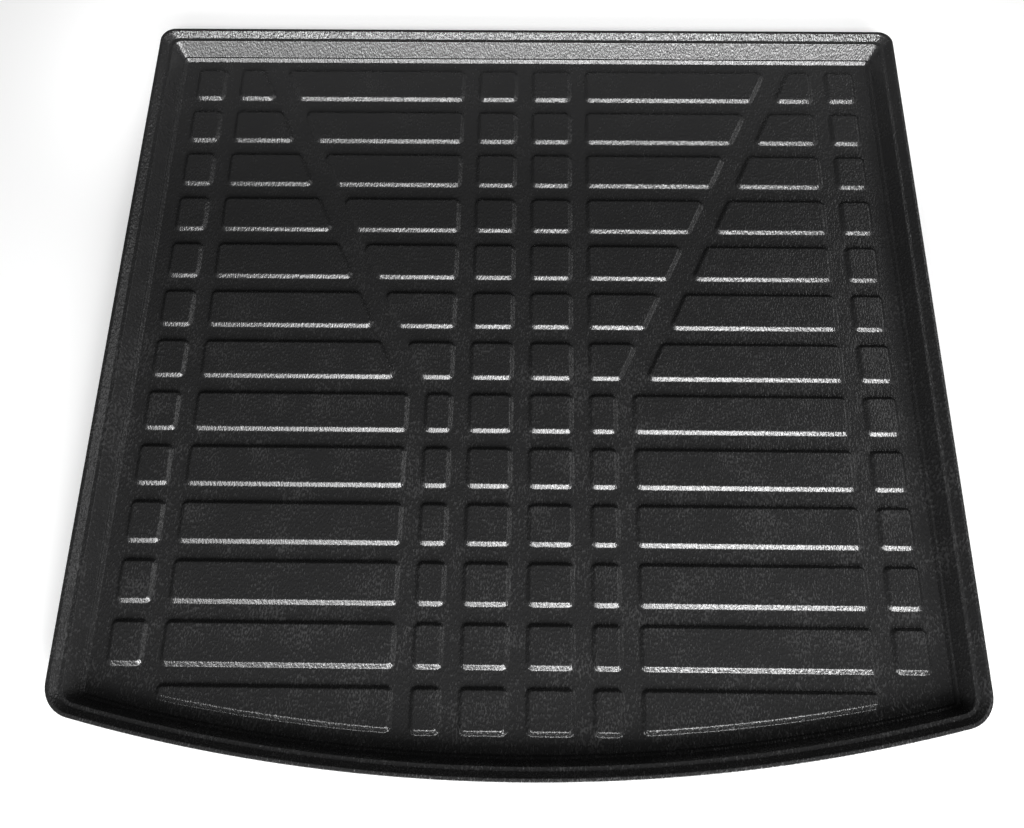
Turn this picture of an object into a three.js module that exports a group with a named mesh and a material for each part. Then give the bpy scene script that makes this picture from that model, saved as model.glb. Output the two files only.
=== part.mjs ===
// A car boot liner: one sheet of black plastic, formed into a shallow tray.
// Hollow pads stand up from its floor, and a stepped wall with a steep rim and a lip runs all round it.
// Lengths are in millimetres. X runs across the car, +Y points to the seats, and Z is up.
// The origin is under the middle of the tray, on the surface that the tray lies on.

import * as THREE from 'three';
import { mergeVertices } from 'three/addons/utils/BufferGeometryUtils.js';

// Outer size, over the rim
const RIM_WIDTH = 1000;
const RIM_DEPTH = 984;
const BOW_RADIUS = 1920;
const SEAT_CORNER_RADIUS = 19;
const TAILGATE_CORNER_RADIUS = 38;
const FOOT_CORNER_RADIUS = 3;

// The formed sheet
const SHEET = 2.5;

// Section of the wall, from the floor outwards: a riser, a step, the main wall, a ledge, the rim and its lip
const RISER_RISE = 4.7;
const RISER_RUN = 3;
const STEP_RUN = 2;
const WALL_RISE = 20.5;
const WALL_RUN = 9.7;
const LEDGE_RUN = 4.6;
const RIM_RISE = 6.8;
const RIM_RUN = 7.7;
const LIP_RUN = 4;
const LIP_DROP = 1;

// Pads, measured at their feet on the floor
const PAD_RISE = 4.5;
const PAD_SLOPE_RUN = 4.5;
const PAD_TOP_CORNER_RADIUS = 3.5;
const CENTRE_PAD_WIDTH = 54.3;
const NARROW_PAD_WIDTH = 34.5;
const EDGE_PAD_WIDTH = 41.5;
const LEAST_PAD_DEPTH = 15;

// The floor that is left between the pads, and between them and the foot of the wall
const GROOVE = 18;
const DIAGONAL_GROOVE = 25;
const SIDE_MARGIN = 18;
const SEAT_MARGIN = 15;
const TAILGATE_MARGIN = 18.5;
const BOW_MARGIN = 16;
const BOW_END_MARGIN = 11.8;

// Rows of pads run from the seats to the tailgate, and two diagonal grooves cross the first of them.
// Both of their ends are set by how far their middle line is from the pads' own grooves.
const ROWS = 13;
const DIAGONAL_ROWS = 7;
const DIAGONAL_SEAT_INSET = 46.5;
const DIAGONAL_MEETING_OUTSET = 6.2;

// Steps of the round stretches
const BOW_STEPS = 16;
const PAD_BOW_STEPS = 5;
const RIM_CORNER_STEPS = 5;
const PAD_CORNER_STEPS = 2;
const LEAST_EDGE = 1;
const LEAST_ROUNDED_TURN = THREE.MathUtils.degToRad(25);

// Places that follow from the sizes
const WALL_REACH = RISER_RUN + STEP_RUN + WALL_RUN + LEDGE_RUN + RIM_RUN + LIP_RUN;
const FOOT_HALF_WIDTH = RIM_WIDTH / 2 - WALL_REACH;
const FOOT_SEAT_Y = RIM_DEPTH / 2 - WALL_REACH;
const FOOT_BOW_Y = -RIM_DEPTH / 2 + WALL_REACH;
const FOOT_BOW_RADIUS = BOW_RADIUS - WALL_REACH;
const BOW_CENTRE_Y = FOOT_BOW_Y + FOOT_BOW_RADIUS;
const FIRST_ROW_Y = FOOT_SEAT_Y - SEAT_MARGIN;
const PATTERN_DEPTH = FIRST_ROW_Y - FOOT_BOW_Y - TAILGATE_MARGIN;
const ROW_PITCH = (PATTERN_DEPTH + GROOVE) / ROWS;
const PAD_DEPTH = ROW_PITCH - GROOVE;
const CENTRE_PAD_X = GROOVE / 2;
const FIELD_X = CENTRE_PAD_X + CENTRE_PAD_WIDTH + GROOVE;
const EDGE_PAD_X = FOOT_HALF_WIDTH - SIDE_MARGIN - EDGE_PAD_WIDTH;
const FIELD_END_X = EDGE_PAD_X - GROOVE;
const NARROW_PAD_END_X = FIELD_X + NARROW_PAD_WIDTH;

// The pads' bow is an arc with its apex on the middle line, and ends beside the last wide pad
const PAD_BOW_APEX_Y = FOOT_BOW_Y + BOW_MARGIN;
const WALL_BOW_SAG = FOOT_BOW_RADIUS - Math.sqrt(FOOT_BOW_RADIUS ** 2 - FIELD_END_X ** 2);
const PAD_BOW_SAG = WALL_BOW_SAG + BOW_END_MARGIN - BOW_MARGIN;
const PAD_BOW_RADIUS = (FIELD_END_X ** 2 + PAD_BOW_SAG ** 2) / (2 * PAD_BOW_SAG);

// A pad's wall keeps the sheet's thickness, so its underside lies this much further in
const PAD_SLOPE = Math.hypot(PAD_SLOPE_RUN, PAD_RISE);
const UNDERSIDE_INSET = SHEET * (PAD_SLOPE - PAD_SLOPE_RUN) / PAD_RISE;

/** Points of an arc about a centre, from one angle to another, both ends included. */
function arcPoints(centre, radius, from, to, steps) {
  const points = [];
  for (let i = 0; i <= steps; i++) {
    const angle = THREE.MathUtils.lerp(from, to, i / steps);
    const reach = new THREE.Vector2(radius * Math.cos(angle), radius * Math.sin(angle));
    points.push(reach.add(centre));
  }
  return points;
}

/** Radius of a corner of the wall, which grows from the foot to the rim. */
function wallCornerRadius(rimRadius, offset) {
  return THREE.MathUtils.lerp(FOOT_CORNER_RADIUS, rimRadius, offset / WALL_REACH);
}

/** The right half of the tray's outline, a given way out from the foot of the wall. */
function rightOutline(offset) {
  const halfWidth = FOOT_HALF_WIDTH + offset;
  const seatRadius = wallCornerRadius(SEAT_CORNER_RADIUS, offset);
  const seatCentre = new THREE.Vector2(halfWidth - seatRadius, FOOT_SEAT_Y + offset - seatRadius);
  const bowRadius = FOOT_BOW_RADIUS + offset;
  const bowCentre = new THREE.Vector2(0, BOW_CENTRE_Y);
  const cornerRadius = wallCornerRadius(TAILGATE_CORNER_RADIUS, offset);
  const cornerX = halfWidth - cornerRadius;
  const drop = Math.sqrt((bowRadius - cornerRadius) ** 2 - cornerX ** 2);
  const cornerCentre = new THREE.Vector2(cornerX, BOW_CENTRE_Y - drop);
  const turn = Math.atan2(-drop, cornerX);
  const bow = arcPoints(bowCentre, bowRadius, -Math.PI / 2, turn, BOW_STEPS / 2);
  const tailgateCorner = arcPoints(cornerCentre, cornerRadius, turn, 0, RIM_CORNER_STEPS);
  const seatCorner = arcPoints(seatCentre, seatRadius, 0, Math.PI / 2, RIM_CORNER_STEPS);
  return [...bow, ...tailgateCorner.slice(1), ...seatCorner];
}

/** The same outline on the other side of the middle line, still counterclockwise. */
function mirrored(outline) {
  return outline.map((point) => new THREE.Vector2(-point.x, point.y)).reverse();
}

/** The tray's whole outline, a given way out from the foot of the wall. */
function trayOutline(offset) {
  const right = rightOutline(offset);
  return [...right, ...mirrored(right.slice(1))];
}

/** Where two straight lines meet, each given by a point and a direction. */
function crossing(a, alongA, b, alongB) {
  const gap = b.clone().sub(a);
  return a.clone().addScaledVector(alongA, gap.cross(alongB) / alongA.cross(alongB));
}

/** A point on a line that runs beside the stretch from a to b, a distance to its right. */
function beside(a, b, distance) {
  const along = b.clone().sub(a).normalize();
  return new THREE.Vector2(a.x + along.y * distance, a.y - along.x * distance);
}

/** Section of the wall's upper side: how far out from the foot, and how high. */
function wallSection() {
  const moves = [
    [RISER_RUN, RISER_RISE],
    [STEP_RUN, 0],
    [WALL_RUN, WALL_RISE],
    [LEDGE_RUN, 0],
    [RIM_RUN, RIM_RISE],
    [LIP_RUN, -LIP_DROP],
  ];
  const points = [new THREE.Vector2(0, SHEET)];
  for (const [run, rise] of moves) {
    const last = points[points.length - 1];
    points.push(new THREE.Vector2(last.x + run, last.y + rise));
  }
  return points;
}

/** The section's underside, one sheet thickness away, ending under the trimmed edge of the lip. */
function undersideSection(section) {
  const floorStart = new THREE.Vector2(-SHEET, SHEET);
  const edge = section[section.length - 1];
  const path = [floorStart, ...section];
  const underside = [];
  for (let i = 1; i < path.length - 1; i++) {
    const before = beside(path[i - 1], path[i], SHEET);
    const after = beside(path[i], path[i + 1], SHEET);
    const alongBefore = path[i].clone().sub(path[i - 1]);
    const alongAfter = path[i + 1].clone().sub(path[i]);
    underside.push(crossing(before, alongBefore, after, alongAfter));
  }
  const lastStart = section[section.length - 2];
  const alongLip = edge.clone().sub(lastStart);
  underside.push(crossing(beside(lastStart, edge, SHEET), alongLip, edge, new THREE.Vector2(0, 1)));
  return underside;
}

/** What is left of a convex outline on the left side of the line from a to b. */
function cutOutline(outline, a, b) {
  const along = b.clone().sub(a);
  const side = (point) => along.cross(point.clone().sub(a));
  const kept = [];
  outline.forEach((point, i) => {
    const next = outline[(i + 1) % outline.length];
    if (side(point) >= 0) {
      kept.push(point);
    }
    if (side(point) * side(next) < 0) {
      kept.push(crossing(point, next.clone().sub(point), a, along));
    }
  });
  return kept.filter((point, i) => point.distanceTo(kept[(i + 1) % kept.length]) > LEAST_EDGE);
}

/** A convex outline with every side moved inwards. */
function insetOutline(outline, distance) {
  return outline.map((point, i) => {
    const last = outline[(i + outline.length - 1) % outline.length];
    const next = outline[(i + 1) % outline.length];
    const before = beside(last, point, -distance);
    const after = beside(point, next, -distance);
    return crossing(before, point.clone().sub(last), after, next.clone().sub(point));
  });
}

/** A convex outline with its corners rounded, and the slight turns of its bowed side left as they are. */
function roundOutline(outline, radius) {
  return outline.flatMap((point, i) => {
    const back = outline[(i + outline.length - 1) % outline.length].clone().sub(point);
    const ahead = outline[(i + 1) % outline.length].clone().sub(point);
    const turn = Math.PI - back.angleTo(ahead);
    if (turn < LEAST_ROUNDED_TURN) {
      return [point];
    }
    const room = 0.45 * Math.min(back.length(), ahead.length());
    const fitted = Math.min(radius, room / Math.tan(turn / 2));
    const centreWay = back.normalize().add(ahead.clone().normalize()).normalize();
    const centre = point.clone().addScaledVector(centreWay, fitted / Math.cos(turn / 2));
    const middle = centreWay.negate().angle();
    return arcPoints(centre, fitted, middle - turn / 2, middle + turn / 2, PAD_CORNER_STEPS);
  });
}

/** A pad's outline at an inset from its foot: its corners get tighter on the way up. */
function padOutline(foot, inset) {
  return roundOutline(insetOutline(foot, inset), PAD_TOP_CORNER_RADIUS + PAD_SLOPE_RUN - inset);
}

/** A row's near and far limits at the feet of its pads. */
function rowSpan(row) {
  const far = FIRST_ROW_Y - row * ROW_PITCH;
  return { near: far - PAD_DEPTH, far };
}

/** A rectangular outline in a row, between two distances from the middle line. */
function rowBlock(row, fromX, toX) {
  const { near, far } = rowSpan(row);
  return [
    new THREE.Vector2(fromX, near),
    new THREE.Vector2(toX, near),
    new THREE.Vector2(toX, far),
    new THREE.Vector2(fromX, far),
  ];
}

/** An outline cut back along the bow, so that the floor keeps its margin to the bowed wall. */
function cutByBow(outline) {
  const xs = outline.map((point) => point.x);
  const centre = new THREE.Vector2(0, PAD_BOW_APEX_Y + PAD_BOW_RADIUS);
  const from = -Math.acos(Math.min(...xs) / PAD_BOW_RADIUS);
  const to = -Math.acos(Math.max(...xs) / PAD_BOW_RADIUS);
  const bow = arcPoints(centre, PAD_BOW_RADIUS, from, to, PAD_BOW_STEPS);
  let cut = outline;
  for (let i = 0; i < PAD_BOW_STEPS && cut.length > 2; i++) {
    cut = cutOutline(cut, bow[i], bow[i + 1]);
  }
  return cut;
}

/** How far out a row's pads can reach before the bow leaves them less than their least depth. */
function bowReach(row) {
  const rise = rowSpan(row).far - LEAST_PAD_DEPTH - PAD_BOW_APEX_Y;
  return Math.sqrt(PAD_BOW_RADIUS ** 2 - (PAD_BOW_RADIUS - rise) ** 2);
}

/** Two parallel lines, the sides of the right-hand diagonal groove, each from the tailgate to the seats. */
function diagonalSides() {
  const meetingX = NARROW_PAD_END_X + GROOVE / 2 + DIAGONAL_MEETING_OUTSET;
  const meeting = new THREE.Vector2(meetingX, rowSpan(DIAGONAL_ROWS - 1).near - GROOVE / 2);
  const seat = new THREE.Vector2(FIELD_END_X - DIAGONAL_SEAT_INSET, FIRST_ROW_Y);
  const sides = {};
  for (const [name, way] of [['inner', -1], ['outer', 1]]) {
    const start = beside(meeting, seat, way * DIAGONAL_GROOVE / 2);
    sides[name] = [start, start.clone().add(seat).sub(meeting)];
  }
  return sides;
}

/** The pads of a row between its centre pad and its edge pad. */
function fieldPads(row) {
  if (row < DIAGONAL_ROWS) {
    const block = rowBlock(row, FIELD_X, FIELD_END_X);
    const { inner, outer } = diagonalSides();
    return [cutOutline(block, inner[0], inner[1]), cutOutline(block, outer[1], outer[0])];
  }
  const wide = rowBlock(row, NARROW_PAD_END_X + GROOVE, Math.min(FIELD_END_X, bowReach(row)));
  return [rowBlock(row, FIELD_X, NARROW_PAD_END_X), cutByBow(wide)];
}

/** A pad is left out where the bow leaves too little of its outer side. */
function isDeepEnough(outline) {
  const outerX = Math.max(...outline.map((point) => point.x));
  const outerYs = outline.filter((point) => outerX - point.x < LEAST_EDGE).map((point) => point.y);
  return Math.max(...outerYs) - Math.min(...outerYs) >= LEAST_PAD_DEPTH;
}

/** The feet of all the pads. */
function padFeet() {
  const right = [];
  for (let row = 0; row < ROWS; row++) {
    const edge = cutByBow(rowBlock(row, EDGE_PAD_X, EDGE_PAD_X + EDGE_PAD_WIDTH));
    right.push(rowBlock(row, CENTRE_PAD_X, CENTRE_PAD_X + CENTRE_PAD_WIDTH));
    right.push(...fieldPads(row));
    if (edge.length > 2 && isDeepEnough(edge)) {
      right.push(edge);
    }
  }
  return [...right, ...right.map(mirrored)];
}

/** A flat outline at a height. */
function atHeight(outline, height) {
  return outline.map((point) => new THREE.Vector3(point.x, point.y, height));
}

/** Facets of the band between two rings of the same number of points, the second above or outside. */
function band(lower, upper) {
  return lower.flatMap((point, i) => {
    const next = (i + 1) % lower.length;
    return [point, lower[next], upper[next], point, upper[next], upper[i]];
  });
}

/** Facets of a flat face at a height, facing up, with holes where the pads stand. */
function flatFace(outline, holes, height) {
  const corners = atHeight([...outline, ...holes.flat()], height);
  return THREE.ShapeUtils.triangulateShape(outline, holes).flat().map((index) => corners[index]);
}

/** The same facets turned over, to face the other way. */
function turnedOver(facets) {
  return facets.slice().reverse();
}

/** Facets of one side of the floor and its pads, facing up. */
function floorSkin(edge, feet, height, inset) {
  const rings = feet.map((foot) => padOutline(foot, inset));
  const pads = feet.flatMap((foot, i) => {
    const top = padOutline(foot, inset + PAD_SLOPE_RUN);
    const topHeight = height + PAD_RISE;
    return [...band(atHeight(rings[i], height), atHeight(top, topHeight)), ...flatFace(top, [], topHeight)];
  });
  return [...flatFace(edge, rings, height), ...pads];
}

/** Facets of one side of the wall, facing the inside of the tray. */
function wallSkin(section) {
  const rings = section.map((point) => atHeight(trayOutline(point.x), point.y));
  return rings.slice(1).flatMap((ring, i) => turnedOver(band(rings[i], ring)));
}

/** The whole sheet: its upper side, its underside and the trimmed edge between them. */
function linerGeometry() {
  const feet = padFeet();
  const section = wallSection();
  const underside = undersideSection(section);
  const rimTop = section[section.length - 1];
  const rimUnder = underside[underside.length - 1];
  const rimOutline = trayOutline(rimTop.x);
  const upper = [...floorSkin(trayOutline(0), feet, SHEET, 0), ...wallSkin(section)];
  const lower = [...floorSkin(trayOutline(underside[0].x), feet, 0, UNDERSIDE_INSET), ...wallSkin(underside)];
  const trimmedEdge = band(atHeight(rimOutline, rimUnder.y), atHeight(rimOutline, rimTop.y));
  const facets = [...upper, ...turnedOver(lower), ...trimmedEdge];
  return mergeVertices(new THREE.BufferGeometry().setFromPoints(facets));
}

const blackPlastic = new THREE.MeshStandardMaterial({
  color: 0x262628,
  roughness: 0.5,
  metalness: 0,
  flatShading: true,
});

const tray = new THREE.Mesh(linerGeometry(), blackPlastic);
tray.name = 'liner_tray';

const bootLiner = new THREE.Group();
bootLiner.name = 'boot_liner';
bootLiner.add(tray);

export default bootLiner;
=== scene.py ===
import math

import bpy
from bpy.props import FloatProperty, FloatVectorProperty, IntProperty, PointerProperty
from mathutils import Euler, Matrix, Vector


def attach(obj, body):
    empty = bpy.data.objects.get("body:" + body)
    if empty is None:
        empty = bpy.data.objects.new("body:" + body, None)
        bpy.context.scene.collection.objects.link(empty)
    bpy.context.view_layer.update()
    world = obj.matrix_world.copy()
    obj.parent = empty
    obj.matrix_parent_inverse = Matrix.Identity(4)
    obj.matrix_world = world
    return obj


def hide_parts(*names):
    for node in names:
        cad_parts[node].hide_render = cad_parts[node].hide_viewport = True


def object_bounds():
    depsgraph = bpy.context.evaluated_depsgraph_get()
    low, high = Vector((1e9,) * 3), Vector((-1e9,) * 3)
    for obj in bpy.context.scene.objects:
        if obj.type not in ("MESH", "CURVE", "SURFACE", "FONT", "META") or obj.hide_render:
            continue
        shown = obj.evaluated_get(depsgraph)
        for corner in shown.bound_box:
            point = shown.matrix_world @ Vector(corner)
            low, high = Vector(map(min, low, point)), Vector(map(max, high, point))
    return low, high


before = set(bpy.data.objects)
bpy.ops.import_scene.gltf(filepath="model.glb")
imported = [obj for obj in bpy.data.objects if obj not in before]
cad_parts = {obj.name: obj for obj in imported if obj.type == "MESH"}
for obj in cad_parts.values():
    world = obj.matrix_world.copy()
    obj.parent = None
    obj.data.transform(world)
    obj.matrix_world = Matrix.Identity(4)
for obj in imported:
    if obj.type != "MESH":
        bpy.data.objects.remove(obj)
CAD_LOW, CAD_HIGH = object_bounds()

bl_info = {
    "name": "Car boot liner",
    "version": (1, 0, 0),
    "blender": (4, 5, 0),
    "location": "3D View > Sidebar > Boot liner",
    "description": "A formed black tray for a car's boot, with rows of raised pads",
    "category": "Object",
}

# The formed mesh, in metres, with the share of a stretch that one bend may take
FOOT_MARK = "pad_foot"
FLOOR_STRIP = 0.002
SHORTEST_SIDE = 0.001
WELD_DISTANCE = 2e-6
BEND_SHARE = 0.46
UNDER_STEPS = 2
SHEET_SIZES = (
    "Sheet",
    "Rise",
    "Slope Run",
    "Foot Bend",
    "Top Bend",
    "Under Inset",
    "Under Top Bend",
    "Corner Radius",
    "Flat",
)
SHEET_STEPS = ("Corner Steps", "Bend Steps", "Under Steps")

# Painted glints on the plastic, lighter specks on the grain's tops in place of the front light's glints: the
# grain's heights that they span, and where they fade out towards the seats, away from that light
GLINT_FROM = 0.80
GLINT_TO = 1.00
CLOUD_SHARE = 0.5
GLINT_FADE_Y = 0.30
GLINT_FULL_Y = -0.10
FADED_GLINT = 0.25

# The light panels in front, seen from the tray: rises of each row, and turns to the right, in degrees
PANEL_DISTANCE = 2.6
PANEL_ROWS = {"lowest": (2, 12), "low": (12, 24), "raised": (24, 38), "high": (38, 54)}
PANEL_TURNS = ((-30, -11), (-11, 11), (11, 30))
SIDE_TURNS = (94, 132)
SIDE_RISES = (20, 36)

# The narrow beam on the rim at the seats, and the floor
BEAM_SPREAD = math.radians(30)
BEAM_PLACE = (0.0, -0.05, 0.60)
BEAM_TARGET = (0.0, 0.487, 0.03)
BEAM_WIDTH = 1.2
BEAM_HEIGHT = 0.2
FLOOR_HALF = 12.0


def length(name, description, default):
    """A size in metres that a user can change."""
    return FloatProperty(name=name, description=description, default=default, unit="LENGTH")


def count(name, description, default):
    """A whole number that a user can change."""
    return IntProperty(name=name, description=description, default=default, min=1)


def amount(name, description, default):
    """A plain number that a user can change."""
    return FloatProperty(name=name, description=description, default=default, min=0.0)


def angle(name, description, degrees):
    """An angle that a user can change, given in degrees."""
    default = math.radians(degrees)
    return FloatProperty(name=name, description=description, default=default, unit="ROTATION")


def colour(name, description, default):
    """A linear colour that a user can change."""
    return FloatVectorProperty(
        name=name,
        description=description,
        default=default,
        subtype="COLOR",
        min=0.0,
        max=1.0,
    )


def place(name, description, default):
    """A point in metres that a user can change."""
    return FloatVectorProperty(name=name, description=description, default=default, subtype="TRANSLATION")


def lights(name, description, default):
    """The brightness of a row of light panels, from left to right."""
    return FloatVectorProperty(name=name, description=description, default=default, min=0.0)


class WallSizes(bpy.types.PropertyGroup):
    """The tray's outline, its sheet and the section of its wall."""

    rim_width: length("Rim width", "Across the car, over the rim", CAD_HIGH[0] - CAD_LOW[0])
    rim_depth: length("Rim depth", "Along the car, over the rim", CAD_HIGH[1] - CAD_LOW[1])
    bow_radius: length("Bow radius", "Radius of the rim at the tailgate", 1.920)
    seat_corner: length("Seat corner", "Radius of the rim's corners at the seats", 0.019)
    tailgate_corner: length("Tailgate corner", "Radius of the rim's corners at the tailgate", 0.038)
    foot_corner: length("Foot corner", "Radius of the corners at the foot of the wall", 0.003)
    sheet: length("Sheet", "Thickness of the formed sheet", 0.0025)
    riser_rise: length("Riser rise", "Height of the low riser at the wall's foot", 0.0047)
    riser_run: length("Riser run", "How far the riser leans out", 0.003)
    step_run: length("Step", "Width of the step over the riser", 0.002)
    wall_rise: length("Wall rise", "Height of the main wall", 0.0205)
    wall_run: length("Wall run", "How far the main wall leans out", 0.0097)
    ledge_run: length("Ledge", "Width of the flat ledge over the wall", 0.0046)
    rim_run: length("Rim run", "How far the steep rim leans out", 0.0077)
    lip_run: length("Lip", "Width of the lip outside the rim", 0.004)
    lip_drop: length("Lip drop", "How far the lip falls to its trimmed edge", 0.0004)
    bend: length("Bend", "Radius of the wall's bends, on the inside of each", 0.0011)
    rim_bend: length("Rim bend", "Radius of the ridge between the rim and its lip", 0.0018)
    edge_round: length("Edge round", "Radius of the trimmed edge's two corners", 0.0007)
    flat: length("Flat", "Flat strip that is kept beside each bend", 0.0003)
    bend_steps: count("Bend steps", "Facets round each bend", 4)
    corner_steps: count("Corner steps", "Facets round each corner of the outline", 10)
    bow_steps: count("Bow steps", "Facets along half of the bow", 24)


class PadSizes(bpy.types.PropertyGroup):
    """The raised pads, measured at their feet, and the floor between them."""

    rise: length("Rise", "How far the pads stand up", 0.0045)
    slope_run: length("Slope run", "How far a pad's wall leans in", 0.0045)
    top_corner: length("Top corner", "Radius of a pad's corners at its top", 0.0035)
    foot_bend: length("Foot bend", "Radius where a pad's wall leaves the floor", 0.0025)
    top_bend: length("Top bend", "Radius of the edge round a pad's top", 0.0030)
    centre_width: length("Centre pad width", "Width of the two middle columns", 0.0543)
    narrow_width: length("Narrow pad width", "Width of the pads next to the middle columns", 0.0345)
    edge_width: length("Edge pad width", "Width of the outer columns", 0.0415)
    least_depth: length("Least depth", "A pad cut shorter than this by the bow is left out", 0.015)
    groove: length("Groove", "Floor between two pads", 0.018)
    diagonal_groove: length("Diagonal groove", "Width of the two diagonal grooves", 0.025)
    side_margin: length("Side margin", "Floor between the outer columns and the wall", 0.018)
    seat_margin: length("Seat margin", "Floor between the first row and the wall", 0.015)
    tailgate_margin: length("Tailgate margin", "Floor between the last row and the wall", 0.0185)
    bow_margin: length("Bow margin", "Floor between the pads' bow and the wall, in the middle", 0.016)
    bow_end_margin: length("Bow end margin", "The same at the end of the last wide pad", 0.0118)
    rows: count("Rows", "Rows of pads from the seats to the tailgate", 13)
    diagonal_rows: count("Diagonal rows", "Rows that the diagonal grooves cross", 7)
    diagonal_seat_inset: length("Diagonal inset", "From outer column to diagonal, at the seats", 0.0465)
    diagonal_meeting_outset: length("Diagonal outset", "From narrow pads' groove to its end", 0.0062)
    corner_steps: count("Corner steps", "Facets round each corner of a pad", 5)
    bend_steps: count("Bend steps", "Facets round each bend of a pad's wall", 4)
    bow_steps: count("Bow steps", "Facets along the bowed side of a pad", 8)


class PlasticLook(bpy.types.PropertyGroup):
    """The black plastic and its moulded grain."""

    black: colour("Black", "Colour of the plastic", (0.0180, 0.0180, 0.0183))
    # Painted glints: this lighter grey on the grain's tops stands in for the glints of the low front light
    painted_glint: colour("Painted glint", "Colour where the grain stands up and has greyed", (0.0440, 0.0440, 0.0446))
    smooth: amount("Smooth roughness", "Roughness in the grain's hollows", 0.25)
    rough: amount("Rough roughness", "Roughness on the grain's tops", 0.37)
    shine: amount("Shine", "How strongly the plastic reflects, as a refractive index", 1.65)
    grain: length("Grain", "Size of the grain across the car", 0.0017)
    stretch: amount("Stretch", "How much longer the grain is along the car", 2.2)
    mottle: length("Mottle", "Size of the cloudy patches", 0.05)
    depth: length("Grain depth", "Height of the grain", 0.00085)


class StageLook(bpy.types.PropertyGroup):
    """Floor, light and camera. The lights' brightness is that of their faces, where white is 1."""

    floor: colour("Floor", "Colour of the floor", (0.66, 0.66, 0.66))
    floor_lift: amount("Floor lift", "Extra white that shows on the floor and lights nothing", 0.46)
    surround: amount("Surround", "Strength of the even light all round", 0.03)
    lowest: lights("Lowest lights", "The panels in front near the floor", (6.6, 7.2, 11.0))
    low: lights("Low lights", "The next row of panels up", (8.8, 3.5, 30.0))
    raised: lights("Raised lights", "The third row of panels", (12.5, 7.6, 28.0))
    high: lights("High lights", "The highest row of panels", (0.6, 0.6, 7.5))
    side: amount("Side light", "Brightness of the panel at the right", 1.8)
    seat: amount("Seat light", "Brightness of the narrow beam on the rim at the seats", 50.0)
    camera_place: place("Camera", "Where the camera stands", (0.0123, -0.5987, 1.2258))
    camera_tilt: angle("Tilt", "How far down the camera looks", 66.504)
    camera_turn: angle("Turn", "How far the camera turns to its right", -1.812)
    camera_roll: angle("Roll", "How far the camera leans", -1.134)
    lens: amount("Lens", "Focal length in millimetres", 39.145)
    shift_x: FloatProperty(name="Shift across", description="Shift of the lens across", default=-0.0047)
    shift_y: FloatProperty(name="Shift up", description="Shift of the lens up", default=-0.0010)


class Layout:
    """Places on the tray that follow from its sizes."""

    def __init__(self, wall, pads):
        runs = (wall.riser_run, wall.step_run, wall.wall_run, wall.ledge_run, wall.rim_run, wall.lip_run)
        self.wall_reach = sum(runs)
        self.half_width = wall.rim_width / 2 - self.wall_reach
        self.seat_y = wall.rim_depth / 2 - self.wall_reach
        self.bow_y = -wall.rim_depth / 2 + self.wall_reach
        self.bow_radius = wall.bow_radius - self.wall_reach
        self.bow_centre_y = self.bow_y + self.bow_radius
        self.first_row_y = self.seat_y - pads.seat_margin
        pattern_depth = self.first_row_y - self.bow_y - pads.tailgate_margin
        self.row_pitch = (pattern_depth + pads.groove) / pads.rows
        self.pad_depth = self.row_pitch - pads.groove
        self.centre_x = pads.groove / 2
        self.field_x = self.centre_x + pads.centre_width + pads.groove
        self.narrow_end_x = self.field_x + pads.narrow_width
        self.edge_x = self.half_width - pads.side_margin - pads.edge_width
        self.field_end_x = self.edge_x - pads.groove
        self.pad_bow_y = self.bow_y + pads.bow_margin
        wall_sag = self.bow_radius - math.sqrt(self.bow_radius ** 2 - self.field_end_x ** 2)
        sag = wall_sag + pads.bow_end_margin - pads.bow_margin
        self.pad_bow_radius = (self.field_end_x ** 2 + sag ** 2) / (2 * sag)


def arc(centre, radius, start, end, steps):
    """Points of an arc, both ends included."""
    turns = [start + (end - start) * i / steps for i in range(steps + 1)]
    return [centre + radius * Vector((math.cos(turn), math.sin(turn))) for turn in turns]


def mirrored(outline):
    """The same outline on the other side of the middle line, in the same sense."""
    return [Vector((-point.x, point.y)) for point in reversed(outline)]


def tray_outline(wall, layout, offset):
    """The tray's outline, a given way out from the foot of the wall."""
    share = offset / layout.wall_reach
    seat_radius = wall.foot_corner + (wall.seat_corner - wall.foot_corner) * share
    corner_radius = wall.foot_corner + (wall.tailgate_corner - wall.foot_corner) * share
    half_width = layout.half_width + offset
    bow_radius = layout.bow_radius + offset
    corner_x = half_width - corner_radius
    drop = math.sqrt((bow_radius - corner_radius) ** 2 - corner_x ** 2)
    turn = math.atan2(-drop, corner_x)
    bow_centre = Vector((0, layout.bow_centre_y))
    corner_centre = Vector((corner_x, layout.bow_centre_y - drop))
    seat_centre = Vector((half_width - seat_radius, layout.seat_y + offset - seat_radius))
    bow = arc(bow_centre, bow_radius, -math.pi / 2, turn, wall.bow_steps)
    corner = arc(corner_centre, corner_radius, turn, 0, wall.corner_steps)
    seat_corner = arc(seat_centre, seat_radius, 0, math.pi / 2, wall.corner_steps)
    right = [*bow, *corner[1:], *seat_corner]
    return [*right, *mirrored(right[1:])]


def crossing(a, along_a, b, along_b):
    """Where two straight lines meet, each given by a point and a direction."""
    return a + along_a * ((b - a).cross(along_b) / along_a.cross(along_b))


def beside(a, b, distance):
    """A point on the line that runs beside the stretch from a to b, a distance to its right."""
    along = (b - a).normalized()
    return Vector((a.x + along.y * distance, a.y - along.x * distance))


def top_section(wall):
    """Section of the wall's upper side, from the floor out to the rim's edge."""
    moves = [
        (wall.riser_run, wall.riser_rise),
        (wall.step_run, 0.0),
        (wall.wall_run, wall.wall_rise),
        (wall.ledge_run, 0.0),
    ]
    points = [Vector((0.0, wall.sheet))]
    for move in moves:
        points.append(points[-1] + Vector(move))
    points.append(Vector((points[-1].x + wall.rim_run, CAD_HIGH[2] - CAD_LOW[2])))
    points.append(points[-1] + Vector((wall.lip_run, -wall.lip_drop)))
    return points


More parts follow.
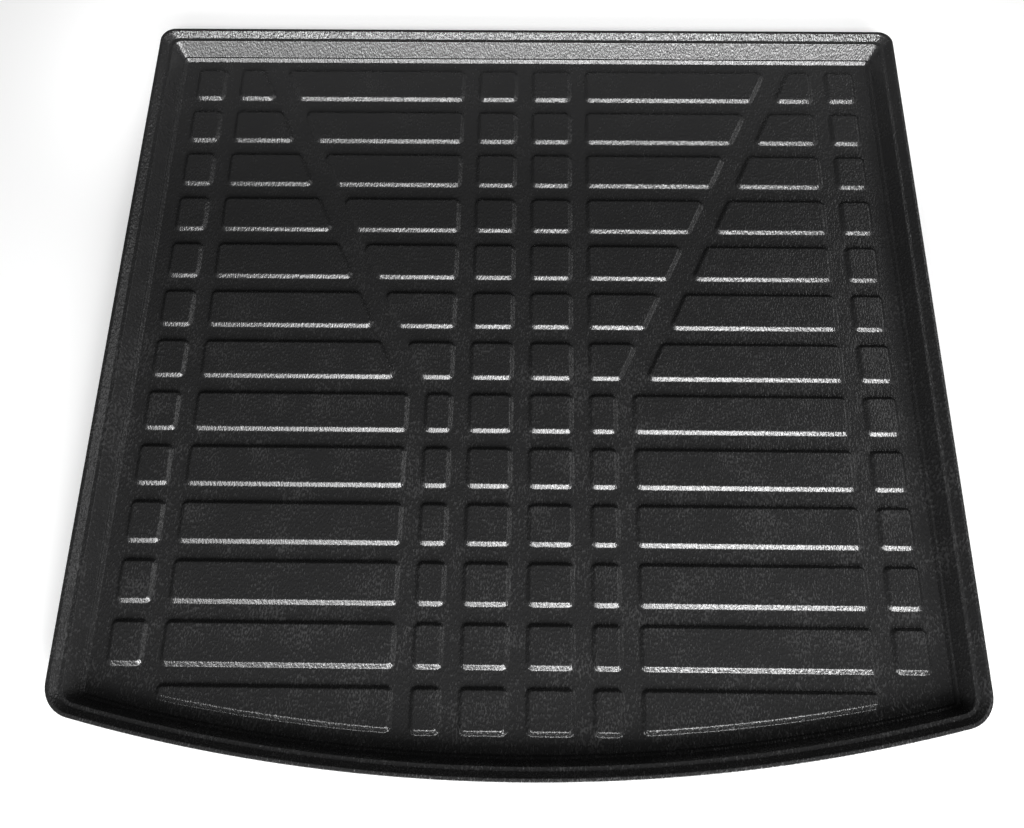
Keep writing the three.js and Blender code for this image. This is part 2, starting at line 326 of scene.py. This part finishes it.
def under_section(wall, top):
    """Section of the underside, one sheet away, from the floor out to the rim's edge."""
    inward = Vector((-1.0, 0.0))
    path = [top[0] + inward, *top]
    under = []
    for i in range(1, len(path) - 1):
        before = beside(path[i - 1], path[i], wall.sheet)
        after = beside(path[i], path[i + 1], wall.sheet)
        under.append(crossing(before, path[i] - path[i - 1], after, path[i + 1] - path[i]))
    lip_side = beside(path[-2], path[-1], wall.sheet)
    under.append(crossing(lip_side, path[-1] - path[-2], path[-1], Vector((0.0, 1.0))))
    return under


def rounded(points, radii, steps, flat):
    """A path with its inner corners rounded, and a flat strip kept on both sides of each."""
    path = [points[0]]
    for before, point, after, radius in zip(points, points[1:], points[2:], radii):
        back = before - point
        ahead = after - point
        turn = math.pi - back.angle(ahead)
        room = BEND_SHARE * min(back.length, ahead.length) - flat
        reach = min(radius * math.tan(turn / 2), room)
        back.normalize()
        ahead.normalize()
        centre = point + (back + ahead).normalized() * (reach / math.sin(turn / 2))
        start = point + back * reach - centre
        sense = 1 if back.cross(ahead) < 0 else -1
        first = math.atan2(start.y, start.x)
        path.append(point + back * (reach + flat))
        path.extend(arc(centre, start.length, first, first + sense * turn, steps))
        path.append(point + ahead * (reach + flat))
    path.append(points[-1])
    return path


def wall_section(wall):
    """Section of the whole wall, along its upper side, over the trimmed edge and back underneath."""
    top = top_section(wall)
    under = under_section(wall, top)
    floor_strip = Vector((-FLOOR_STRIP, 0.0))
    hollow = wall.bend
    full = wall.bend + wall.sheet
    top_radii = [hollow, hollow, hollow, hollow, hollow, wall.rim_bend]
    under_radii = [full, wall.edge_round, full, wall.edge_round, full, wall.edge_round]
    points = [top[0] + floor_strip, *top, *reversed(under), under[0] + floor_strip]
    radii = [*top_radii, wall.edge_round, wall.edge_round, *reversed(under_radii)]
    return rounded(points, radii, wall.bend_steps, wall.flat)


def cut_outline(outline, a, b):
    """What is left of a convex outline on the left side of the line from a to b."""
    along = b - a
    kept = []
    for point, after in zip(outline, [*outline[1:], outline[0]]):
        side = along.cross(point - a)
        if side >= 0:
            kept.append(point)
        if side * along.cross(after - a) < 0:
            kept.append(crossing(point, after - point, a, along))
    pairs = zip(kept, [*kept[1:], *kept[:1]])
    return [point for point, after in pairs if (after - point).length > SHORTEST_SIDE]


def row_block(layout, row, from_x, to_x):
    """A rectangular foot in a row, between two distances from the middle line."""
    far = layout.first_row_y - row * layout.row_pitch
    near = far - layout.pad_depth
    return [Vector((from_x, near)), Vector((to_x, near)), Vector((to_x, far)), Vector((from_x, far))]


def cut_by_bow(layout, pads, outline):
    """A foot cut back along the bow, so that the floor keeps its margin to the wall."""
    radius = layout.pad_bow_radius
    xs = [point.x for point in outline]
    centre = Vector((0.0, layout.pad_bow_y + radius))
    bow = arc(centre, radius, -math.acos(min(xs) / radius), -math.acos(max(xs) / radius), pads.bow_steps)
    for a, b in zip(bow, bow[1:]):
        if len(outline) > 2:
            outline = cut_outline(outline, a, b)
    return outline


def diagonal_sides(layout, pads):
    """Both sides of the right-hand diagonal groove, inner and outer, each from the tailgate to the seats."""
    meeting_x = layout.narrow_end_x + pads.groove / 2 + pads.diagonal_meeting_outset
    meeting_y = layout.first_row_y - pads.diagonal_rows * layout.row_pitch + pads.groove / 2
    meeting = Vector((meeting_x, meeting_y))
    seat = Vector((layout.field_end_x - pads.diagonal_seat_inset, layout.first_row_y))
    starts = [beside(meeting, seat, way * pads.diagonal_groove / 2) for way in (-1, 1)]
    return [(start, start + seat - meeting) for start in starts]


def bow_reach(layout, pads, row):
    """How far out a row's pads can reach before the bow leaves them less than their least depth."""
    rise = layout.first_row_y - row * layout.row_pitch - pads.least_depth - layout.pad_bow_y
    return math.sqrt(layout.pad_bow_radius ** 2 - (layout.pad_bow_radius - rise) ** 2)


def field_feet(layout, pads, row):
    """The feet in a row between its centre pad and its edge pad."""
    if row < pads.diagonal_rows:
        block = row_block(layout, row, layout.field_x, layout.field_end_x)
        inner, outer = diagonal_sides(layout, pads)
        return [cut_outline(block, *inner), cut_outline(block, outer[1], outer[0])]
    outer_x = min(layout.field_end_x, bow_reach(layout, pads, row))
    wide = row_block(layout, row, layout.narrow_end_x + pads.groove, outer_x)
    return [row_block(layout, row, layout.field_x, layout.narrow_end_x), cut_by_bow(layout, pads, wide)]


def is_deep_enough(outline, least_depth):
    """True if the bow leaves enough of a foot's outer side."""
    outer_x = max((point.x for point in outline), default=0.0)
    ys = [point.y for point in outline if outer_x - point.x < SHORTEST_SIDE]
    return len(outline) > 2 and max(ys) - min(ys) >= least_depth


def pad_feet(layout, pads):
    """The feet of all the pads, counterclockwise."""
    right = []
    for row in range(pads.rows):
        edge_block = row_block(layout, row, layout.edge_x, layout.edge_x + pads.edge_width)
        edge = cut_by_bow(layout, pads, edge_block)
        right.append(row_block(layout, row, layout.centre_x, layout.centre_x + pads.centre_width))
        right.extend(field_feet(layout, pads, row))
        if is_deep_enough(edge, pads.least_depth):
            right.append(edge)
    return [*right, *[mirrored(foot) for foot in right]]


def starting_mesh(wall, pads):
    """The wall as faces, and the pads' feet as closed lines on the floor's level that carry a mark."""
    layout = Layout(wall, pads)
    section = wall_section(wall)
    points = []
    edges = []
    faces = []
    for i, at in enumerate(section):
        ring = tray_outline(wall, layout, at.x)
        start = len(points)
        points.extend((point.x, point.y, at.y) for point in ring)
        if i > 0:
            for j in range(len(ring)):
                k = (j + 1) % len(ring)
                faces.append((start + j, start + k, start + k - len(ring), start + j - len(ring)))
    wall_points = len(points)
    for foot in pad_feet(layout, pads):
        start = len(points)
        points.extend((point.x, point.y, 0.0) for point in foot)
        edges.extend((start + j, start + (j + 1) % len(foot)) for j in range(len(foot)))
    mesh = bpy.data.meshes.new("liner_start")
    mesh.from_pydata(points, edges, faces)
    mark = mesh.attributes.new(FOOT_MARK, "BOOLEAN", "POINT")
    mark.data.foreach_set("value", [i >= wall_points for i in range(len(points))])
    return mesh


class Tree:
    """A geometry node tree in the making: nodes are placed from left to right and linked by name."""

    def __init__(self, name):
        self.group = bpy.data.node_groups.new(name, "GeometryNodeTree")
        self.start = self.group.nodes.new("NodeGroupInput")
        self.end = self.group.nodes.new("NodeGroupOutput")

    def takes(self, name, kind):
        """A named input of the tree."""
        self.group.interface.new_socket(name, in_out="INPUT", socket_type=f"NodeSocket{kind}")
        return self.start.outputs[name]

    def gives(self, name, value):
        """The tree's result."""
        self.group.interface.new_socket(name, in_out="OUTPUT", socket_type="NodeSocketGeometry")
        self.link(value, self.end.inputs[name])

    def link(self, value, socket):
        """Feeds a socket from another socket, or sets its own value."""
        if isinstance(value, bpy.types.NodeSocket):
            self.group.links.new(value, socket)
        else:
            socket.default_value = value

    def node(self, kind, inputs, **settings):
        """A node with its settings, and its inputs by name or place; gives its first output."""
        node = self.group.nodes.new(kind)
        node.location.x = 220 * len(self.group.nodes)
        for name, value in settings.items():
            setattr(node, name, value)
        for key, value in inputs.items():
            self.link(value, node.inputs[key])
        return node.outputs[0]

    def join(self, *parts):
        """Several geometries as one."""
        node = self.group.nodes.new("GeometryNodeJoinGeometry")
        for part in reversed(parts):
            self.group.links.new(part, node.inputs[0])
        return node.outputs[0]

    def maths(self, operation, a, b=0.0):
        """The result of an operation on one or two numbers."""
        return self.node("ShaderNodeMath", {0: a, 1: b}, operation=operation)

    def point(self, x, y):
        """A point of a flat path."""
        return self.node("ShaderNodeCombineXYZ", {"X": x, "Y": y})

    def by_place(self, kind, values):
        """One of several values, by the point's place on its line."""
        place_on_line = self.node("GeometryNodeInputIndex", {})
        node = self.group.nodes.new("GeometryNodeIndexSwitch")
        node.data_type = kind
        for _ in values[2:]:
            node.index_switch_items.new()
        self.link(place_on_line, node.inputs["Index"])
        for i, value in enumerate(values):
            self.link(value, node.inputs[i + 1])
        return node.outputs[0]

    def height_test(self, level):
        """True where a point lies above a level."""
        position = self.node("GeometryNodeInputPosition", {})
        parts = self.group.nodes.new("ShaderNodeSeparateXYZ")
        self.link(position, parts.inputs[0])
        inputs = {"A": parts.outputs["Z"], "B": level}
        return self.node("FunctionNodeCompare", inputs, operation="GREATER_THAN")

    def open_edges(self, mesh):
        """The edges at a mesh's openings."""
        faces = self.node("GeometryNodeInputMeshEdgeNeighbors", {})
        single = self.node("FunctionNodeCompare", {2: faces, 3: 1}, data_type="INT", operation="EQUAL")
        return self.node("GeometryNodeSeparateGeometry", {0: mesh, "Selection": single}, domain="EDGE")

    def above(self, mesh, level, lower=False):
        """The edges of a mesh above a level, or those below it."""
        inputs = {0: mesh, "Selection": self.height_test(level)}
        separate = self.node("GeometryNodeSeparateGeometry", inputs, domain="POINT").node
        return separate.outputs["Inverted" if lower else "Selection"]

    def filled(self, edges, level):
        """A flat face at a level inside closed lines, open inside the inner ones."""
        lines = self.node("GeometryNodeMeshToCurve", {0: edges})
        face = self.node("GeometryNodeFillCurve", {0: lines})
        lift = self.node("ShaderNodeCombineXYZ", {"Z": level})
        return self.node("GeometryNodeTransform", {0: face, "Translation": lift})

    def welded(self, mesh):
        """A mesh with its meeting points merged."""
        return self.node("GeometryNodeMergeByDistance", {0: mesh, "Distance": WELD_DISTANCE})


def pad_skin_group():
    """Nodes for one side of the floor: each foot grows a wall and a top, and the floor fills the rest."""
    tree = Tree("pad_skin")
    feet = tree.takes("Feet", "Geometry")
    floor_edge = tree.takes("Floor Edge", "Geometry")
    level = tree.takes("Floor Level", "Float")
    inset = tree.takes("Inset", "Float")
    rise = tree.takes("Rise", "Float")
    run = tree.takes("Slope Run", "Float")
    foot_bend = tree.takes("Foot Bend", "Float")
    top_bend = tree.takes("Top Bend", "Float")
    corner = tree.takes("Corner Radius", "Float")
    flat = tree.takes("Flat", "Float")
    corner_steps = tree.takes("Corner Steps", "Int")
    bend_steps = tree.takes("Bend Steps", "Int")

    top_level = tree.maths("ADD", level, rise)
    slope = tree.maths("ARCTAN2", rise, run)
    half_turn = tree.maths("TANGENT", tree.maths("MULTIPLY", slope, 0.5))
    foot_reach = tree.maths("ADD", tree.maths("MULTIPLY", foot_bend, half_turn), flat)
    top_reach = tree.maths("ADD", tree.maths("MULTIPLY", top_bend, half_turn), flat)
    top_x = tree.maths("MULTIPLY", tree.maths("ADD", inset, run), -1.0)
    foot_x = tree.maths("MULTIPLY", inset, -1.0)
    top_y = tree.maths("MULTIPLY", top_level, -1.0)
    foot_y = tree.maths("MULTIPLY", level, -1.0)
    corners = [
        tree.point(tree.maths("SUBTRACT", top_x, top_reach), top_y),
        tree.point(top_x, top_y),
        tree.point(foot_x, foot_y),
        tree.point(tree.maths("ADD", foot_x, foot_reach), foot_y),
    ]
    line = tree.node("GeometryNodeMeshLine", {"Count": len(corners)})
    bent = tree.node("GeometryNodeSetPosition", {0: line, "Position": tree.by_place("VECTOR", corners)})
    radii = tree.by_place("FLOAT", [0.0, top_bend, foot_bend, 0.0])
    profile = tree.node(
        "GeometryNodeFilletCurve",
        {0: tree.node("GeometryNodeMeshToCurve", {0: bent}), "Count": bend_steps, "Radius": radii},
        mode="POLY",
    )
    foot_lines = tree.node("GeometryNodeMeshToCurve", {0: feet})
    upright = tree.node("GeometryNodeSetCurveNormal", {0: foot_lines}, mode="Z_UP")
    rounded_feet = tree.node(
        "GeometryNodeFilletCurve",
        {0: upright, "Count": corner_steps, "Radius": corner, "Limit Radius": True},
        mode="POLY",
    )
    walls = tree.node("GeometryNodeCurveToMesh", {"Curve": rounded_feet, "Profile Curve": profile})
    rims = tree.open_edges(walls)
    middle = tree.maths("ADD", level, tree.maths("MULTIPLY", rise, 0.5))
    tops = tree.filled(tree.above(rims, middle), top_level)
    floor = tree.filled(tree.join(tree.above(rims, middle, lower=True), floor_edge), level)
    tree.gives("Mesh", tree.welded(tree.join(walls, tops, floor)))
    return tree.group


def sheet_tree(material):
    """Nodes for the formed sheet: the wall that comes in, and the floor with its pads on both sides."""
    skin_group = pad_skin_group()
    tree = Tree("formed_sheet")
    start = tree.takes("Geometry", "Geometry")
    sizes = {name: tree.takes(name, "Float") for name in SHEET_SIZES}
    steps = {name: tree.takes(name, "Int") for name in SHEET_STEPS}
    marked = tree.node("GeometryNodeInputNamedAttribute", {"Name": FOOT_MARK}, data_type="BOOLEAN")
    split = tree.node("GeometryNodeSeparateGeometry", {0: start, "Selection": marked}, domain="POINT").node
    feet = split.outputs["Selection"]
    walls = split.outputs["Inverted"]
    floor_edges = tree.open_edges(walls)
    middle = tree.maths("MULTIPLY", sizes["Sheet"], 0.5)
    shared = {"Feet": feet, "Rise": sizes["Rise"], "Slope Run": sizes["Slope Run"], "Flat": sizes["Flat"]}
    upper = {
        "Floor Edge": tree.above(floor_edges, middle),
        "Floor Level": sizes["Sheet"],
        "Inset": 0.0,
        "Foot Bend": sizes["Foot Bend"],
        "Top Bend": sizes["Top Bend"],
        "Corner Radius": sizes["Corner Radius"],
        "Corner Steps": steps["Corner Steps"],
        "Bend Steps": steps["Bend Steps"],
    }
    under = {
        "Floor Edge": tree.above(floor_edges, middle, lower=True),
        "Floor Level": 0.0,
        "Inset": sizes["Under Inset"],
        "Foot Bend": tree.maths("ADD", sizes["Foot Bend"], sizes["Sheet"]),
        "Top Bend": sizes["Under Top Bend"],
        "Corner Radius": sizes["Corner Radius"],
        "Corner Steps": steps["Under Steps"],
        "Bend Steps": steps["Under Steps"],
    }
    skins = []
    for inputs in ({**shared, **upper}, {**shared, **under}):
        node = tree.group.nodes.new("GeometryNodeGroup")
        node.node_tree = skin_group
        for name, value in inputs.items():
            tree.link(value, node.inputs[name])
        skins.append(node.outputs["Mesh"])
    turned = tree.node("GeometryNodeFlipFaces", {0: skins[1]})
    sheet = tree.welded(tree.join(walls, skins[0], turned))
    smooth = tree.node("GeometryNodeSetShadeSmooth", {0: sheet, "Shade Smooth": True})
    real = tree.node("GeometryNodeRealizeInstances", {0: smooth})
    tree.gives("Geometry", tree.node("GeometryNodeSetMaterial", {0: real, "Material": material}))
    return tree.group


def grain_group():
    """Shader nodes for the grain that the mould leaves in the sheet, and for the painted glints on its tops.
    """
    group = bpy.data.node_groups.new("moulded_grain", "ShaderNodeTree")
    sockets = group.interface
    sockets.new_socket("Vector", in_out="INPUT", socket_type="NodeSocketVector")
    sockets.new_socket("Grain", in_out="INPUT", socket_type="NodeSocketFloat")
    sockets.new_socket("Stretch", in_out="INPUT", socket_type="NodeSocketFloat")
    sockets.new_socket("Mottle", in_out="INPUT", socket_type="NodeSocketFloat")
    sockets.new_socket("Height", in_out="OUTPUT", socket_type="NodeSocketFloat")
    sockets.new_socket("Painted Glint", in_out="OUTPUT", socket_type="NodeSocketFloat")
    nodes = group.nodes
    links = group.links
    start = nodes.new("NodeGroupInput")
    end = nodes.new("NodeGroupOutput")

    def maths(operation, a, b):
        node = nodes.new("ShaderNodeMath")
        node.operation = operation
        for socket, value in zip(node.inputs, (a, b)):
            if isinstance(value, bpy.types.NodeSocket):
                links.new(value, socket)
            else:
                socket.default_value = value
        return node.outputs[0]

    squeeze = nodes.new("ShaderNodeCombineXYZ")
    squeeze.inputs["X"].default_value = 1.0
    shorter = maths("DIVIDE", 1.0, start.outputs["Stretch"])
    links.new(shorter, squeeze.inputs["Y"])
    links.new(shorter, squeeze.inputs["Z"])
    drawn = nodes.new("ShaderNodeVectorMath")
    drawn.operation = "MULTIPLY"
    links.new(start.outputs["Vector"], drawn.inputs[0])
    links.new(squeeze.outputs[0], drawn.inputs[1])
    fine = nodes.new("ShaderNodeTexNoise")
    fine.inputs["Detail"].default_value = 1.0
    fine.inputs["Roughness"].default_value = 0.5
    links.new(drawn.outputs[0], fine.inputs["Vector"])
    links.new(maths("DIVIDE", 1.0, start.outputs["Grain"]), fine.inputs["Scale"])
    cloud = nodes.new("ShaderNodeTexNoise")
    cloud.inputs["Detail"].default_value = 2.0
    links.new(start.outputs["Vector"], cloud.inputs["Vector"])
    links.new(maths("DIVIDE", 1.0, start.outputs["Mottle"]), cloud.inputs["Scale"])
    links.new(fine.outputs["Fac"], end.inputs["Height"])
    patchy = maths("ADD", fine.outputs["Fac"], maths("MULTIPLY", cloud.outputs["Fac"], CLOUD_SHARE))
    spread = nodes.new("ShaderNodeMapRange")
    spread.inputs["From Min"].default_value = GLINT_FROM
    spread.inputs["From Max"].default_value = GLINT_TO
    links.new(patchy, spread.inputs["Value"])
    parts = nodes.new("ShaderNodeSeparateXYZ")
    links.new(start.outputs["Vector"], parts.inputs[0])
    # Painted glints are strongest towards the tailgate, where the low front light falls, and fade towards
    # the seats
    toward_light = nodes.new("ShaderNodeMapRange")
    toward_light.interpolation_type = "SMOOTHSTEP"
    toward_light.inputs["From Min"].default_value = GLINT_FADE_Y
    toward_light.inputs["From Max"].default_value = GLINT_FULL_Y
    toward_light.inputs["To Min"].default_value = FADED_GLINT
    links.new(parts.outputs["Y"], toward_light.inputs["Value"])
    links.new(maths("MULTIPLY", spread.outputs[0], toward_light.outputs[0]), end.inputs["Painted Glint"])
    return group


def plastic_material(look):
    """Black plastic with a moulded grain, painted a little greyer where the grain stands up, as glints of
    the front light.
    """
    material = bpy.data.materials.new("grained_black_plastic")
    material.use_nodes = True
    nodes = material.node_tree.nodes
    links = material.node_tree.links
    shader = nodes["Principled BSDF"]
    where = nodes.new("ShaderNodeTexCoord")
    grain = nodes.new("ShaderNodeGroup")
    grain.node_tree = grain_group()
    grain.inputs["Grain"].default_value = look.grain
    grain.inputs["Stretch"].default_value = look.stretch
    grain.inputs["Mottle"].default_value = look.mottle
    links.new(where.outputs["Object"], grain.inputs["Vector"])
    # Painted glints: the grain's tops are mixed towards a lighter grey, in place of the front light's glints
    tone = nodes.new("ShaderNodeMix")
    tone.data_type = "RGBA"
    tone.inputs["A"].default_value = (*look.black, 1.0)
    tone.inputs["B"].default_value = (*look.painted_glint, 1.0)
    links.new(grain.outputs["Painted Glint"], tone.inputs["Factor"])
    links.new(tone.outputs["Result"], shader.inputs["Base Color"])
    gloss = nodes.new("ShaderNodeMapRange")
    gloss.inputs["To Min"].default_value = look.smooth
    gloss.inputs["To Max"].default_value = look.rough
    links.new(grain.outputs["Painted Glint"], gloss.inputs["Value"])
    links.new(gloss.outputs[0], shader.inputs["Roughness"])
    shader.inputs["IOR"].default_value = look.shine
    bump = nodes.new("ShaderNodeBump")
    bump.inputs["Distance"].default_value = look.depth
    links.new(grain.outputs["Height"], bump.inputs["Height"])
    links.new(bump.outputs[0], shader.inputs["Normal"])
    return material


def set_inputs(modifier, values):
    """Sets a node modifier's inputs, found by name, through their identifiers."""
    for item in modifier.node_group.interface.items_tree:
        if item.in_out == "INPUT" and item.name in values:
            modifier[item.identifier] = values[item.name]


class BootLinerTray(bpy.types.Operator):
    """Forms the tray: a wall lofted round the floor, with pads that grow from their feet on both sides"""

    bl_idname = "boot_liner.tray"
    bl_label = "Tray"

    def execute(self, context):
        wall = context.scene.boot_liner_wall
        pads = context.scene.boot_liner_pads
        start = bpy.data.objects.new("liner_start", starting_mesh(wall, pads))
        context.scene.collection.objects.link(start)
        material = plastic_material(context.scene.boot_liner_plastic)
        modifier = start.modifiers.new("formed_sheet", "NODES")
        modifier.node_group = sheet_tree(material)
        slope = math.hypot(pads.slope_run, pads.rise)
        set_inputs(modifier, {
            "Sheet": wall.sheet,
            "Rise": pads.rise,
            "Slope Run": pads.slope_run,
            "Foot Bend": pads.foot_bend,
            "Top Bend": pads.top_bend,
            "Under Inset": wall.sheet * (slope - pads.slope_run) / pads.rise,
            "Under Top Bend": max(pads.top_bend - wall.sheet, wall.edge_round),
            "Corner Radius": pads.top_corner + pads.slope_run,
            "Flat": wall.flat,
            "Corner Steps": pads.corner_steps,
            "Bend Steps": pads.bend_steps,
            "Under Steps": UNDER_STEPS,
        })
        context.view_layer.update()
        formed = start.evaluated_get(context.evaluated_depsgraph_get())
        mesh = bpy.data.meshes.new_from_object(formed)
        mesh.name = "formed_tray"
        while mesh.materials[0] is None:
            mesh.materials.pop(index=0)
        bpy.data.objects.remove(start)
        tray = bpy.data.objects.new("formed_tray", mesh)
        context.scene.collection.objects.link(tray)
        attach(tray, "root")
        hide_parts("liner_tray")
        return {"FINISHED"}


def area_light(scene, name, at, towards, width, height, brightness):
    """A soft rectangular light that the camera doesn't see, whose face has a given brightness."""
    light = bpy.data.lights.new(name, "AREA")
    light.shape = "RECTANGLE"
    light.size = width
    light.size_y = height
    light.energy = brightness * math.pi * width * height
    lamp = bpy.data.objects.new(name, light)
    lamp.location = at
    lamp.rotation_euler = (Vector(towards) - Vector(at)).to_track_quat("-Z", "Y").to_euler()
    lamp.visible_camera = False
    scene.collection.objects.link(lamp)
    return light


def soft_panel(scene, name, turns, rises, brightness):
    """A light panel that faces the tray, between two turns to the right and two rises, in degrees."""
    turn = math.radians(sum(turns)) / 2
    rise = math.radians(sum(rises)) / 2
    at = Vector((math.sin(turn) * math.cos(rise), -math.cos(turn) * math.cos(rise), math.sin(rise)))
    width = 2 * PANEL_DISTANCE * math.tan(math.radians(turns[1] - turns[0]) / 2) * math.cos(rise)
    height = 2 * PANEL_DISTANCE * math.tan(math.radians(rises[1] - rises[0]) / 2)
    area_light(scene, name, at * PANEL_DISTANCE, (0.0, 0.0, 0.0), width, height, brightness)


def narrow_beam(scene, name, at, towards, width, height, brightness):
    """A strip light whose beam is narrow, and as bright as asked in its middle."""
    half = BEAM_SPREAD / 2
    middle = math.tan(half) / (math.tan(half) - half)
    light = area_light(scene, name, at, towards, width, height, brightness / middle)
    light.spread = BEAM_SPREAD


def floor_material(look):
    """Pale floor that keeps the shadow and looks white to the camera and in reflections."""
    material = bpy.data.materials.new("pale_floor")
    material.use_nodes = True
    nodes = material.node_tree.nodes
    links = material.node_tree.links
    shader = nodes["Principled BSDF"]
    shader.inputs["Base Color"].default_value = (*look.floor, 1.0)
    shader.inputs["Roughness"].default_value = 0.9
    shader.inputs["Specular IOR Level"].default_value = 0.0
    shader.inputs["Emission Color"].default_value = (1.0, 1.0, 1.0, 1.0)
    path = nodes.new("ShaderNodeLightPath")
    seen = path.outputs["Is Camera Ray"]
    for ray in ("Is Glossy Ray", "Is Transmission Ray"):
        either = nodes.new("ShaderNodeMath")
        either.operation = "MAXIMUM"
        links.new(seen, either.inputs[0])
        links.new(path.outputs[ray], either.inputs[1])
        seen = either.outputs[0]
    lift = nodes.new("ShaderNodeMath")
    lift.operation = "MULTIPLY"
    lift.inputs[1].default_value = look.floor_lift
    links.new(seen, lift.inputs[0])
    links.new(lift.outputs[0], shader.inputs["Emission Strength"])
    return material


def world_light(look):
    """Dim even light all round, and white where the camera looks past the floor."""
    world = bpy.data.worlds.new("studio")
    world.use_nodes = True
    nodes = world.node_tree.nodes
    links = world.node_tree.links
    background = nodes["Background"]
    seen = nodes.new("ShaderNodeLightPath")
    strength = nodes.new("ShaderNodeMapRange")
    strength.inputs["To Min"].default_value = look.surround
    strength.inputs["To Max"].default_value = 1.0
    links.new(seen.outputs["Is Camera Ray"], strength.inputs["Value"])
    links.new(strength.outputs[0], background.inputs["Strength"])
    background.inputs["Color"].default_value = (1.0, 1.0, 1.0, 1.0)
    return world


class BootLinerStage(bpy.types.Operator):
    """Lays the pale floor, hangs the lights and sets up the camera"""

    bl_idname = "boot_liner.stage"
    bl_label = "Stage"

    def execute(self, context):
        scene = context.scene
        look = scene.boot_liner_stage
        mesh = bpy.data.meshes.new("studio_floor")
        ways = ((-1, -1), (1, -1), (1, 1), (-1, 1))
        corners = [(x * FLOOR_HALF, y * FLOOR_HALF, 0.0) for x, y in ways]
        mesh.from_pydata(corners, [], [(0, 1, 2, 3)])
        mesh.materials.append(floor_material(look))
        floor = bpy.data.objects.new("studio_floor", mesh)
        scene.collection.objects.link(floor)
        scene.world = world_light(look)
        for row, rises in PANEL_ROWS.items():
            for turns, brightness in zip(PANEL_TURNS, getattr(look, row)):
                if brightness > 0:
                    soft_panel(scene, f"{row}_light", turns, rises, brightness)
        soft_panel(scene, "side_light", SIDE_TURNS, SIDE_RISES, look.side)
        narrow_beam(scene, "seat_light", BEAM_PLACE, BEAM_TARGET, BEAM_WIDTH, BEAM_HEIGHT, look.seat)
        self.set_camera(scene, look)
        scene.view_settings.view_transform = "Standard"
        return {"FINISHED"}

    def set_camera(self, scene, look):
        """The camera stands where the photograph was taken."""
        camera = bpy.data.cameras.new("camera")
        camera.sensor_width = 36.0
        camera.lens = look.lens
        camera.shift_x = look.shift_x
        camera.shift_y = look.shift_y
        stand = bpy.data.objects.new("camera", camera)
        aim = Euler((math.pi / 2 - look.camera_tilt, 0.0, -look.camera_turn))
        lean = Euler((0.0, 0.0, look.camera_roll))
        stand.matrix_world = aim.to_matrix().to_4x4() @ lean.to_matrix().to_4x4()
        stand.location = look.camera_place
        scene.collection.objects.link(stand)
        scene.camera = stand


class BootLinerPanel(bpy.types.Panel):
    """Sizes, colours and the pieces to build"""

    bl_idname = "VIEW3D_PT_boot_liner"
    bl_label = "Boot liner"
    bl_space_type = "VIEW_3D"
    bl_region_type = "UI"
    bl_category = "Boot liner"

    def draw(self, context):
        for operator in OPERATORS:
            self.layout.operator(operator.bl_idname)
        for name in SETTINGS:
            values = getattr(context.scene, name)
            box = self.layout.box()
            for key in values.__annotations__:
                box.prop(values, key)


OPERATORS = (BootLinerTray, BootLinerStage)
SETTINGS = {
    "boot_liner_wall": WallSizes,
    "boot_liner_pads": PadSizes,
    "boot_liner_plastic": PlasticLook,
    "boot_liner_stage": StageLook,
}


def register():
    for cls in (*SETTINGS.values(), *OPERATORS, BootLinerPanel):
        bpy.utils.register_class(cls)
    for name, cls in SETTINGS.items():
        setattr(bpy.types.Scene, name, PointerProperty(type=cls))


def unregister():
    for name in SETTINGS:
        delattr(bpy.types.Scene, name)
    for cls in reversed((*SETTINGS.values(), *OPERATORS, BootLinerPanel)):
        bpy.utils.unregister_class(cls)


def main():
    """Builds the tray and its stage."""
    register()
    bpy.ops.boot_liner.tray()
    bpy.ops.boot_liner.stage()


if __name__ == "__main__":
    main()
